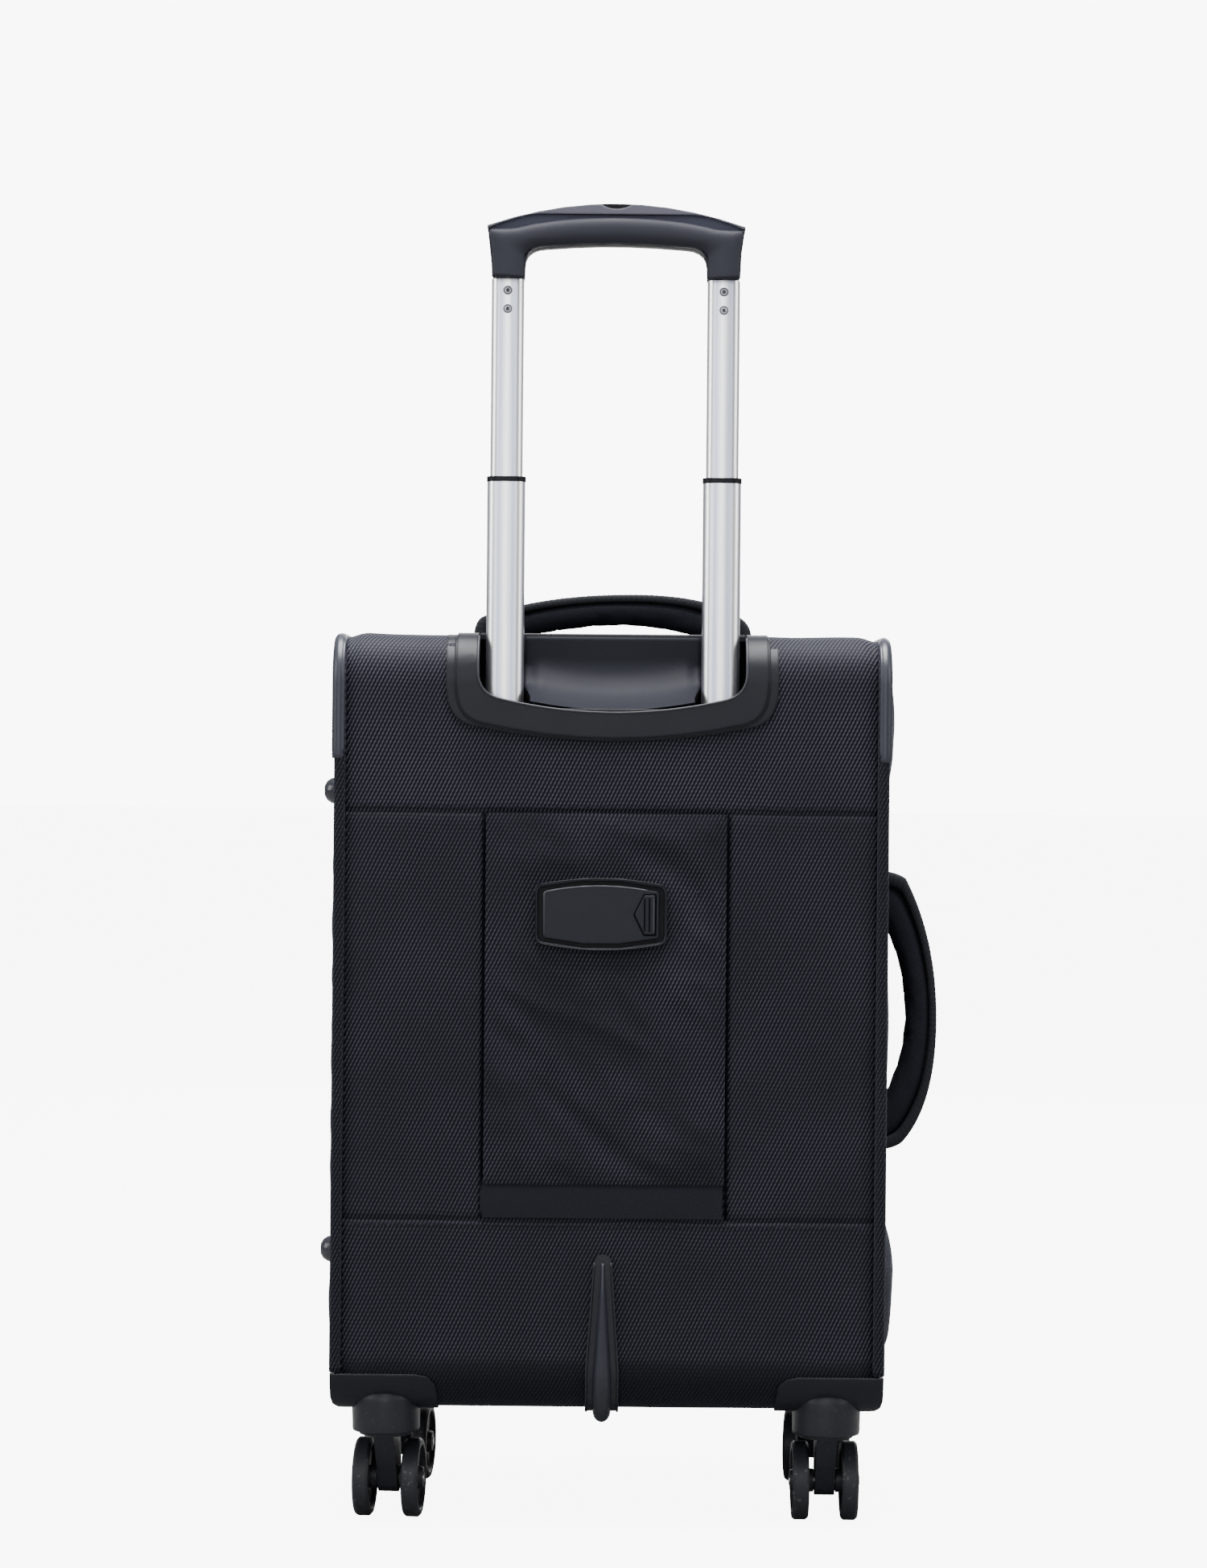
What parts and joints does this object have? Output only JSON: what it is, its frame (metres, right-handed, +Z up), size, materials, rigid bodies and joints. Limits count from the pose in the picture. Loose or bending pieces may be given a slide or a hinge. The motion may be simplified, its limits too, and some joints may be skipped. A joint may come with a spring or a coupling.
{
  "type": "softside upright suitcase",
  "caption": "Upright softside suitcase on twin-wheel casters, with a telescoping trolley handle in a recess, padded carry handles, a hinged tag cover and a zipped front with pockets.",
  "frame": {"origin": "On the floor, under the centre of the bounding box of the suitcase standing upright with its trolley part way out.", "axes": "+Z is up. -Y is the trolley side (back) and +Y the pocket side (front). +X is the side that carries the side handle."},
  "size_m": [0.3938, 0.237, 0.8308],
  "materials": {
    "shell_twill": "near-black polyester twill with short bright diagonal floats",
    "patch_twill": "the same twill, looser and lightly wrinkled",
    "handle_webbing": "padded plain-weave webbing with bound edges",
    "lining_cloth": "thin plain lining cloth",
    "recess_plastic": "smooth satin-gloss black moulding",
    "housing_plastic": "fine-textured dark blue-grey moulding",
    "rail_plastic": "satin black moulding",
    "foot_gloss": "glossy dark grey dome",
    "tag_plastic": "satin black moulding",
    "grip_plastic": "matte soft-touch black",
    "grip_cap_plastic": "satin black cap",
    "button_plastic": "satin black button",
    "tube_aluminium": "satin clear-anodised extrusion with fine ribs",
    "collar_plastic": "satin black collar",
    "rod_steel": "plain drawn steel",
    "slider_metal": "black nickel finish",
    "fork_plastic": "dark blue-grey moulding",
    "wheel_tyre": "dark grey hard rubber, lightly dusty"
  },
  "bodies": {
    "case": {"wrap_panel": "shell_twill", "side_panel_left": "shell_twill", "side_panel_right": "shell_twill", "centre_panel": "patch_twill", "top_handle": "handle_webbing", "side_handle": "handle_webbing", "tie_strap_left": "handle_webbing", "tie_strap_right": "handle_webbing", "back_lining": "lining_cloth", "recess_housing": "recess_plastic", "wheel_housing_back_left": "housing_plastic", "wheel_housing_back_right": "housing_plastic", "wheel_housing_front_left": "housing_plastic", "wheel_housing_front_right": "housing_plastic", "tube_base": "housing_plastic", "tie_buckle": "housing_plastic", "skid_rail": "rail_plastic", "side_foot_upper_back": "foot_gloss", "side_foot_upper_front": "foot_gloss", "side_foot_lower_back": "foot_gloss", "side_foot_lower_front": "foot_gloss", "id_tag_frame": "tag_plastic", "outer_tube_left": "tube_aluminium", "outer_tube_right": "tube_aluminium", "wire_frame": "rod_steel"},
    "lid": {"lid_shell": "shell_twill", "lower_pocket": "shell_twill", "upper_pocket": "shell_twill"},
    "main_zip_left": {"main_slider_left": "slider_metal"},
    "main_zip_right": {"main_slider_right": "slider_metal"},
    "upper_pocket_zip": {"upper_pocket_slider": "slider_metal"},
    "lower_pocket_zip": {"lower_pocket_slider": "slider_metal"},
    "trolley_middle": {"middle_tube_left": "tube_aluminium", "middle_tube_right": "tube_aluminium", "tube_collar_left": "collar_plastic", "tube_collar_right": "collar_plastic"},
    "trolley_upper": {"upper_tube_left": "tube_aluminium", "upper_tube_right": "tube_aluminium", "grip_body": "grip_plastic", "grip_cap": "grip_cap_plastic"},
    "trolley_release": {"release_button": "button_plastic", "release_bar": "rod_steel"},
    "tag_cover": {"id_tag_cover": "tag_plastic"},
    "tag_latch": {"id_tag_latch": "tag_plastic"},
    "caster_back_left": {"caster_fork_back_left": "fork_plastic", "axle_back_left": "rod_steel"},
    "wheel_back_left_a": {"wheel_back_left_a": "wheel_tyre"},
    "wheel_back_left_b": {"wheel_back_left_b": "wheel_tyre"},
    "caster_back_right": {"caster_fork_back_right": "fork_plastic", "axle_back_right": "rod_steel"},
    "wheel_back_right_a": {"wheel_back_right_a": "wheel_tyre"},
    "wheel_back_right_b": {"wheel_back_right_b": "wheel_tyre"},
    "caster_front_left": {"caster_fork_front_left": "fork_plastic", "axle_front_left": "rod_steel"},
    "wheel_front_left_a": {"wheel_front_left_a": "wheel_tyre"},
    "wheel_front_left_b": {"wheel_front_left_b": "wheel_tyre"},
    "caster_front_right": {"caster_fork_front_right": "fork_plastic", "axle_front_right": "rod_steel"},
    "wheel_front_right_a": {"wheel_front_right_a": "wheel_tyre"},
    "wheel_front_right_b": {"wheel_front_right_b": "wheel_tyre"}
  },
  "joints": [
    {"name": "lid_hinge", "type": "hinge", "parent": "case", "child": "lid", "pos_m": [-0.18615, 0.0758, 0.3088], "axis": [0, 0, 1], "range_deg": [0, 110]},
    {"name": "main_zip_left_slide", "type": "slide", "parent": "lid", "child": "main_zip_left", "axis": [1, 0, 0], "range_m": [-0.18, 0]},
    {"name": "main_zip_right_slide", "type": "slide", "parent": "lid", "child": "main_zip_right", "axis": [1, 0, 0], "range_m": [0, 0.06]},
    {"name": "upper_pocket_zip_slide", "type": "slide", "parent": "lid", "child": "upper_pocket_zip", "axis": [1, 0, 0], "range_m": [-0.23, 0]},
    {"name": "lower_pocket_zip_slide", "type": "slide", "parent": "lid", "child": "lower_pocket_zip", "axis": [1, 0, 0], "range_m": [-0.23, 0]},
    {"name": "trolley_middle_slide", "type": "slide", "parent": "case", "child": "trolley_middle", "axis": [0, 0, 1], "range_m": [-0.14, 0.1]},
    {"name": "trolley_upper_slide", "type": "slide", "parent": "trolley_middle", "child": "trolley_upper", "axis": [0, 0, 1], "range_m": [-0.123, 0.1]},
    {"name": "trolley_release_press", "type": "slide", "parent": "trolley_upper", "child": "trolley_release", "axis": [0, 0, 1], "range_m": [-0.003, 0], "stiffness_N_per_m": 2000, "springref_m": 0.003},
    {"name": "tag_cover_hinge", "type": "hinge", "parent": "case", "child": "tag_cover", "pos_m": [-0.0571, -0.1172, 0.3855], "axis": [0, 0, -1], "range_deg": [0, 100]},
    {"name": "tag_latch_press", "type": "slide", "parent": "tag_cover", "child": "tag_latch", "axis": [0, 1, 0], "range_m": [0, 0.0015], "stiffness_N_per_m": 400, "springref_m": -0.001},
    {"name": "caster_back_left_swivel", "type": "hinge", "parent": "case", "child": "caster_back_left", "pos_m": [-0.15315, -0.0818, 0.0558], "axis": [0, 0, 1], "continuous": true},
    {"name": "wheel_back_left_a_spin", "type": "hinge", "parent": "caster_back_left", "child": "wheel_back_left_a", "pos_m": [-0.15176, -0.06586, 0.0247], "axis": [0.9962, -0.0872, 0], "continuous": true},
    {"name": "wheel_back_left_b_spin", "type": "hinge", "parent": "caster_back_left", "child": "wheel_back_left_b", "pos_m": [-0.15176, -0.06586, 0.0247], "axis": [0.9962, -0.0872, 0], "continuous": true},
    {"name": "caster_back_right_swivel", "type": "hinge", "parent": "case", "child": "caster_back_right", "pos_m": [0.12485, -0.0818, 0.0558], "axis": [0, 0, 1], "continuous": true},
    {"name": "wheel_back_right_a_spin", "type": "hinge", "parent": "caster_back_right", "child": "wheel_back_right_a", "pos_m": [0.12485, -0.0658, 0.0247], "axis": [1, 0, 0], "continuous": true},
    {"name": "wheel_back_right_b_spin", "type": "hinge", "parent": "caster_back_right", "child": "wheel_back_right_b", "pos_m": [0.12485, -0.0658, 0.0247], "axis": [1, 0, 0], "continuous": true},
    {"name": "caster_front_left_swivel", "type": "hinge", "parent": "case", "child": "caster_front_left", "pos_m": [-0.15315, 0.0472, 0.0558], "axis": [0, 0, 1], "continuous": true},
    {"name": "wheel_front_left_a_spin", "type": "hinge", "parent": "caster_front_left", "child": "wheel_front_left_a", "pos_m": [-0.15148, 0.06311, 0.0247], "axis": [0.9945, -0.1045, 0], "continuous": true},
    {"name": "wheel_front_left_b_spin", "type": "hinge", "parent": "caster_front_left", "child": "wheel_front_left_b", "pos_m": [-0.15148, 0.06311, 0.0247], "axis": [0.9945, -0.1045, 0], "continuous": true},
    {"name": "caster_front_right_swivel", "type": "hinge", "parent": "case", "child": "caster_front_right", "pos_m": [0.12485, 0.0472, 0.0558], "axis": [0, 0, 1], "continuous": true},
    {"name": "wheel_front_right_a_spin", "type": "hinge", "parent": "caster_front_right", "child": "wheel_front_right_a", "pos_m": [0.12708, 0.06304, 0.0247], "axis": [0.9903, -0.1392, 0], "continuous": true},
    {"name": "wheel_front_right_b_spin", "type": "hinge", "parent": "caster_front_right", "child": "wheel_front_right_b", "pos_m": [0.12708, 0.06304, 0.0247], "axis": [0.9903, -0.1392, 0], "continuous": true}
  ]
}
